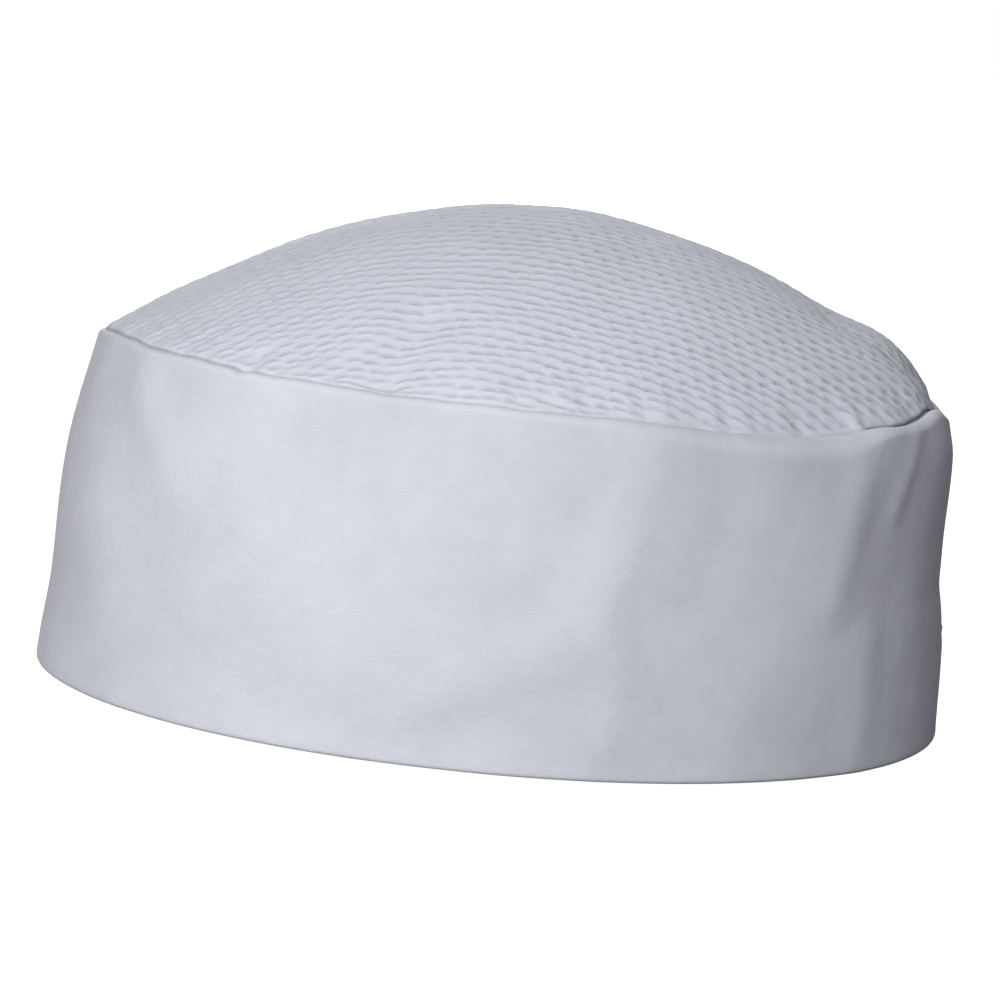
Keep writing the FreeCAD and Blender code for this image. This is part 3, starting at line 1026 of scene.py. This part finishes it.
def opening_binding():
    """Bias tape folded over the raw edge, and its stitches."""
    section = binding_section()
    count = len(arch_path(0))
    grid = np.zeros((len(section), count, 3))
    for number, (margin, depth) in enumerate(section):
        outline = arch_path(margin)
        outline = resample(outline, ARCH_STEP)
        own = np.linspace(0, 1, len(outline))
        across, height = (np.interp(np.linspace(0, 1, count), own, line) for line in outline.T)
        grid[number] = on_wall(angle_at(across, height), height, depth)
    along = lengths_along(grid[3])
    across = lengths_along(grid[:, count // 2])
    uv = flat_map(along[None, :], across[:, None])
    piece = thicken(grid_object("arch_binding", grid, uv), 0.4 * MM, bevel=0.12 * MM)
    dress(piece, TWILL, replaces=["opening_binding"])

    across, height = arch_path(BINDING_LEG - 1.4 * MM, foot=2 * MM).T
    row = wall_row(angle_at(across, height), height, -0.5 * MM)
    sew("arch_binding_stitches", [row], ["opening_binding_thread"])


def bartacks():
    """Dense bars across the binding's edge, one each side of the opening."""
    low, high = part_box("bartacks")
    half_width = 1.5 * MM
    edge = 0.3 * MM
    rows = []
    for side in (-1, 1):
        across = side * (high[0] - 0.8 * MM) + np.linspace(-half_width, half_width, 3)
        for height in np.linspace(low[2] + edge, high[2] - edge, 13):
            rows.append(wall_row(angle_at(across, height), height, -0.58 * MM))
    sew("bartack_stitches", rows, ["bartacks"])


def back_seam():
    """Two rows that fell the band's ends together."""
    low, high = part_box("back_seam_thread")
    heights = np.linspace(low[2], high[2], 12)
    rows = [wall_row(angle_at(across, heights), heights, -0.05 * MM)
            for across in (-2 * MM, 2 * MM)]
    sew("back_seam_stitches", rows, ["back_seam_thread"])


# ---- the closure
FOLD = 72.1                        # degrees round, seen from above, where the strap bends
ROOT = 66
STRAP_END = 138.5
ROUNDED_END = 3.9                  # degrees of the strap's end that its corners take up
ROOT_OFFSET = 0.75 * MM
STRAP_OFFSET = 3.05 * MM           # the strap's middle over the loop tape
STRAP_THICK = 1.2 * MM
LOOP_TAPE = (109, 142)             # degrees
LOOP_PITCH = (1.35 * MM, 1.25 * MM)  # along the tape and up
HOOK_TAPE = (111, 136)             # degrees
HOOK_PITCH = (1.5 * MM, 1.3 * MM)
HOOK_SHAPE = (  # along, out from the ground and half thickness, in mm
    (0, 0, 0.16),
    (0.02, 0.35, 0.12),
    (0.12, 0.58, 0.10),
    (0.30, 0.62, 0.09),
    (0.40, 0.46, 0.06),
)
SQUARE = ((-1, -1), (1, -1), (1, 1), (-1, 1))


def strap_height(degrees):
    """How far the middle of the strap stands out from the band."""
    rise = (STRAP_OFFSET - ROOT_OFFSET) * smooth(degrees, FOLD - 3.5, FOLD + 6)
    return ROOT_OFFSET + rise


def rounded(half, from_end, corner):
    """Half width near an end whose corners are rounded."""
    inside = np.clip(from_end / corner, 0, 1)
    return half - corner * (1 - np.sqrt(np.clip(1 - (1 - inside) ** 2, 0, 1)))


def strap():
    """The closure strap, from its sewn end to its rounded tip, with its stitches and hooks."""
    low, high = strap_low[2], strap_high[2]
    straight = STRAP_END - ROUNDED_END
    rounding = ROUNDED_END * np.sin(np.linspace(0, math.pi / 2 - 0.12, 18))
    degrees = np.concatenate([np.linspace(ROOT, straight, 170)[:-1], straight + rounding])
    angles = np.array([polar(value) for value in degrees])
    middle = (low + high) / 2
    half = (high - low) / 2
    along = lengths_along(on_wall(angles, middle, -strap_height(degrees)))
    across = np.linspace(-1, 1, 21)
    heights = middle + rounded(half, along[-1] - along, 7 * MM)[None, :] * across[:, None]
    edge_thin = 0.18 * MM * bump(np.abs(across), 0.8, 0.1)
    points = on_wall(angles[None, :], heights, edge_thin[:, None] - strap_height(degrees)[None, :])
    piece = grid_object("closure_strap_twill", points, flat_map(along[None, :], heights))
    thicken(piece, STRAP_THICK - 0.2 * MM, bevel=0.25 * MM, even=False)
    dress(piece, TWILL, body=None,
          replaces=["closure_strap", "strap_root_tab", "strap_interfacing"])
    fold = bend_points()
    bpy.context.view_layer.update()
    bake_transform(piece)
    strap_stitches(degrees, angles, along, half, middle)
    hook_tape(middle, half)


def bend_points():
    """Two points on the band, either side of the strap's fold; nothing reads them."""
    return tuple(
        tuple(on_wall(polar(degrees), STRAP_MIDDLE, -2.5 * MM))
        for degrees in (FOLD - 0.8, FOLD + 2.2)
    )


def strap_stitches(degrees, angles, along, half, middle):
    """Topstitching round the free strap, and a crossed box on its sewn end."""
    surface = -(strap_height(degrees) + STRAP_THICK / 2 - 0.05 * MM)
    inset = 2 * MM
    side = half - inset

    def row(at, height):
        spots, depths = (np.interp(at, along, values) for values in (angles, surface))
        return wall_row(spots, middle + height, depths)

    free_start = float(np.interp(FOLD + 3, degrees, along))
    corner = 5 * MM
    corner_start = float(along[-1]) - inset - corner
    turn = np.linspace(0, math.pi / 2, 8)
    straight = np.linspace(free_start, corner_start, 60)
    upper = np.concatenate([straight, corner_start + corner * np.sin(turn)])
    height = np.concatenate([np.full(60, side), side - corner * (1 - np.cos(turn))])
    rows = [row(np.concatenate([upper, upper[::-1]]), np.concatenate([height, -height[::-1]]))]
    start, end = 1.8 * MM, float(np.interp(FOLD - 1.3, degrees, along))
    lines = [(start, 1), (end, 1), (end, -1), (start, -1), (start, 1), (end, -1)]
    lines = list(zip(lines, lines[1:])) + [((start, -1), (end, 1))]
    for (from_at, from_side), (to_at, to_side) in lines:
        rows.append(row(np.linspace(from_at, to_at, 8), side * np.linspace(from_side, to_side, 8)))
    piece = sew("strap_stitches", rows, ["strap_edge_thread", "strap_root_thread"], body=None)
    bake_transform(piece)


def tape_patch(name, degrees, low, high, depth, thickness):
    """A flat stretch of tape on the band, and its length."""
    angles = np.array([polar(value) for value in np.linspace(*degrees, 60)])
    heights = np.linspace(low, high, 14)[:, None]
    points = on_wall(angles[None, :], heights, depth)
    along = lengths_along(points[7])
    piece = grid_object(name, points, flat_map(along[None, :], heights))
    return thicken(piece, thickness, bevel=0.15 * MM), float(along[-1])


def loop_tape():
    """A woven ground covered with small soft loops."""
    low, high = (corner[2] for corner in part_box("loop_tape"))
    start, end = LOOP_TAPE
    ground, length = tape_patch("loop_tape_ground", LOOP_TAPE, low, high, -0.3 * MM, 0.4 * MM)
    dress(ground, TAPE, replaces=["loop_tape"])
    vertices, faces = [], []
    margin = 1.5 * MM
    columns = int((length - margin) / LOOP_PITCH[0])
    for row in range(int((high - low - margin) / LOOP_PITCH[1])):
        for column in range(columns):
            share = (column + 0.5 + random.uniform(-0.25, 0.25)) / columns
            degrees = start + (end - start) * (0.015 + 0.97 * share)
            up = (row + 0.5 + random.uniform(-0.25, 0.25)) * LOOP_PITCH[1]
            small_loop(vertices, faces, polar(degrees), low + 0.9 * MM + up,
                       random.uniform(0, math.pi), random.uniform(0.45, 0.7) * MM)
    dress(mesh_object("loop_tape_pile", vertices, faces), LOOPS)
    depth = -0.62 * MM
    inset = 1.6 * MM
    edges = (polar(start + 1.1), polar(end - 1.1))
    heights = (low + inset, high - inset)
    rows = [wall_row(np.linspace(*edges, 40), height, depth) for height in heights]
    rows += [wall_row(np.full(10, edge), np.linspace(*heights, 10), depth) for edge in edges]
    sew("loop_tape_stitches", rows, ["loop_tape_thread"])


def small_loop(vertices, faces, angle, height, turn, size):
    """One loop of the pile: a thin thread that leaves the ground and returns to it."""
    centre, normal = wall_row(np.array([angle]), np.array([height]), -0.45 * MM)
    centre, normal = centre[0], unit(normal[0])
    sideways = np.cross((0, 0, 1.0), normal)
    direction = sideways * math.cos(turn) + np.cross(normal, sideways) * math.sin(turn)
    across = np.cross(direction, normal)
    thread = 0.07 * MM
    turns = [2 * math.pi * corner / 3 for corner in range(3)]
    rings = []
    for bend in np.linspace(0, math.pi, 6):
        outward = direction * -math.cos(bend) + normal * math.sin(bend)
        middle = centre + size * (direction * 0.6 * -math.cos(bend) + normal * math.sin(bend))
        rings.append(add_points(vertices, [
            middle + thread * (outward * math.cos(around) + across * math.sin(around))
            for around in turns
        ]))
    join_tube(rings, faces)


def hook_tape(middle, half):
    """A moulded ground with rows of small hooks that face the loop tape."""
    start, end = HOOK_TAPE
    inner_face = STRAP_OFFSET - STRAP_THICK / 2
    margin = 1.2 * MM
    low, high = middle - half + margin, middle + half - margin
    ground, length = tape_patch(
        "hook_tape_ground", HOOK_TAPE, low, high, 0.2 * MM - inner_face, 0.35 * MM
    )
    dress(ground, HOOKS, "strap", ["hook_tape"])
    vertices, faces = [], []
    for row in range(int((high - low - 1 * MM) / HOOK_PITCH[1])):
        height = low + 0.9 * MM + row * HOOK_PITCH[1]
        for column in range(int((length - 1 * MM) / HOOK_PITCH[0])):
            share = 0.01 + (column + 0.5) * HOOK_PITCH[0] / length
            angle = polar(start + (end - start) * share)
            small_hook(vertices, faces, angle, height, inner_face - 0.38 * MM, -1 if row % 2 else 1)
    dress(mesh_object("hook_tape_hooks", vertices, faces), HOOKS, "strap")


def small_hook(vertices, faces, angle, height, stand, side):
    """A J-shaped hook on the strap's inner face."""
    base, normal = wall_row(np.array([angle]), np.array([height]), -stand)
    base, inward = base[0], -unit(normal[0])
    lengthwise = np.cross((0, 0, 1.0), inward) * side
    across = np.cross(inward, lengthwise)
    rings = []
    for along, out, thick in HOOK_SHAPE:
        middle = base + (lengthwise * along + inward * out) * MM
        rings.append(add_points(vertices, [
            middle + thick * MM * (lengthwise * ahead + across * aside) for ahead, aside in SQUARE
        ]))
    join_tube(rings, faces)


# ---- labels
def hanging_label(node, tab_node, inward):
    """A woven label whose sewn end stays on the band and whose free end curls a little across its
    width.
    """
    low, high = (np.array(corner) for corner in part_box(node))
    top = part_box(tab_node)[1][2] - 0.5 * MM
    inward = np.array(inward, float)
    side = np.cross(inward, (0, 0, 1))
    half = float(np.abs(side @ (high - low))) / 2
    share = np.linspace(0, 1, 30)[:, None]
    across = np.linspace(-1, 1, 15)[None, :]
    height = top + (low[2] - top) * share + 0 * across
    sideways = rounded(half, height - low[2], 2 * MM) * across
    curl = 0.9 * MM * smooth(share, 0.35, 1.0) * across ** 2
    points = (low + high) / 2 * (1, 1, 0) + (
        side * sideways[..., None] + inward * curl[..., None] + (0, 0, 1) * height[..., None]
    )
    uv = flat_map(sideways, height)
    piece = thicken(grid_object(node + "_satin", points, uv), 0.4 * MM, bevel=0.1 * MM)
    dress(piece, SATIN, body=None, replaces=[node, tab_node])
    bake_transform(piece)


def labels():
    hanging_label("care_label", "care_label_tab", (1, 0, 0))
    hanging_label("size_label", "size_label_tab", (0, -1, 0))


# ---- studio
def area_light(name, place, size, watts):
    """A rectangular lamp that faces the cap."""
    lamp = bpy.data.lights.new(name, "AREA")
    lamp.shape = "RECTANGLE"
    lamp.size, lamp.size_y = size
    lamp.energy = watts
    holder = bpy.data.objects.new(name, lamp)
    holder.location = place
    holder.rotation_euler = (CAP_MIDDLE - place).to_track_quat("-Z", "Y").to_euler()
    bpy.context.scene.collection.objects.link(holder)


def around_cap(azimuth, elevation, distance):
    """A point seen from the cap at an azimuth counted like the views'."""
    azimuth, elevation = math.radians(azimuth), math.radians(elevation)
    out = math.cos(elevation) * distance
    height = math.sin(elevation) * distance
    return Vector((math.sin(azimuth) * out, -math.cos(azimuth) * out, height))


VIEW = {"azimuth": 54, "elevation": 8.11, "roll": 6.83, "distance": 0.9844, "lens": 161.8}
AIM = Vector((-0.0014, -0.0038, 0.0421))
CAP_MIDDLE = Vector((0, 0, 0.05))


def camera():
    data = bpy.data.cameras.new("camera")
    data.lens = VIEW["lens"]
    data.sensor_width = 36
    data.clip_end = 50
    eye = bpy.data.objects.new("camera", data)
    place = CAP_MIDDLE + around_cap(VIEW["azimuth"], VIEW["elevation"], VIEW["distance"])
    eye.location = place
    look = (AIM - place).to_track_quat("-Z", "Y")
    eye.rotation_euler = look.to_euler()
    eye.rotation_euler.rotate_axis("Z", math.radians(VIEW["roll"]))
    bpy.context.scene.collection.objects.link(eye)
    bpy.context.scene.camera = eye


def split_by_ray(tree, lighting, seen, target):
    """Link one shader for the camera's own rays and another for the light on the object."""
    path = add_node(tree, "ShaderNodeLightPath")
    inputs = {"Fac": path.outputs["Is Camera Ray"], 1: lighting, 2: seen}
    tree.links.new(add_node(tree, "ShaderNodeMixShader", inputs).outputs[0], target)


def floor_material():
    """Pale paper that looks white and throws only a little light back up."""
    look = Shader("floor_paper", (0.22, 0.23, 0.25), 0.9)
    paper = look.shader.outputs["BSDF"]
    glow = {"Color": (1, 1, 1, 1), "Strength": 1.0}
    glow = look.node("ShaderNodeEmission", glow).outputs["Emission"]
    pale = look.node("ShaderNodeAddShader", {0: paper, 1: glow}).outputs["Shader"]
    split_by_ray(look.tree, paper, pale, look.tree.nodes["Material Output"].inputs["Surface"])
    return look.material


def sky():
    """White to the camera; for the light, a cool sky that is brighter on one side."""
    world = bpy.data.worlds.new("studio")
    bpy.context.scene.world = world
    world.use_nodes = True
    tree = world.node_tree
    where = add_node(tree, "ShaderNodeTexCoord").outputs["Generated"]
    inputs = {0: where, 1: around_cap(VIEW["azimuth"] + 101, 20, 1)}
    towards = add_node(tree, "ShaderNodeVectorMath", inputs, operation="DOT_PRODUCT")
    inputs = {"Value": towards.outputs["Value"], "From Min": -0.1, "To Min": 0.03, "To Max": 0.12}
    fall = add_node(tree, "ShaderNodeMapRange", inputs)
    soft = tree.nodes["Background"]
    soft.inputs["Color"].default_value = (0.92, 0.96, 1.05, 1)
    tree.links.new(fall.outputs["Result"], soft.inputs["Strength"])
    white = add_node(tree, "ShaderNodeBackground", {"Color": (1, 1, 1, 1), "Strength": 1.0})
    surface = tree.nodes["World Output"].inputs["Surface"]
    split_by_ray(tree, soft.outputs[0], white.outputs[0], surface)


LIGHT_DISTANCE = 1.5
LIGHTS = {  # degrees round from the view, elevation, size and watts
    "key": (-18, 24, (0.5, 0.5), 17.7),
    "top": (60, 72, (1.0, 1.0), 2.8),
    "back": (182, 10, (0.5, 0.5), 16.0),
}


def studio():
    bpy.context.scene.view_settings.view_transform = "Standard"
    sky()
    corners = [(20 * x, 20 * y, 0) for x, y in SQUARE]
    floor = mesh_object("floor", corners, [(0, 1, 2, 3)])
    floor.data.materials.append(floor_material())
    floor.location.z = -0.2 * MM
    for name, (turn, elevation, size, watts) in LIGHTS.items():
        place = around_cap(VIEW["azimuth"] + turn, elevation, LIGHT_DISTANCE)
        area_light(name, place, size, watts)


PARTS = (
    camera, band, back_seam, crown, crown_tape, sweatband, opening_binding, bartacks, loop_tape,
    strap, labels, studio,
)
for make in PARTS:
    make()
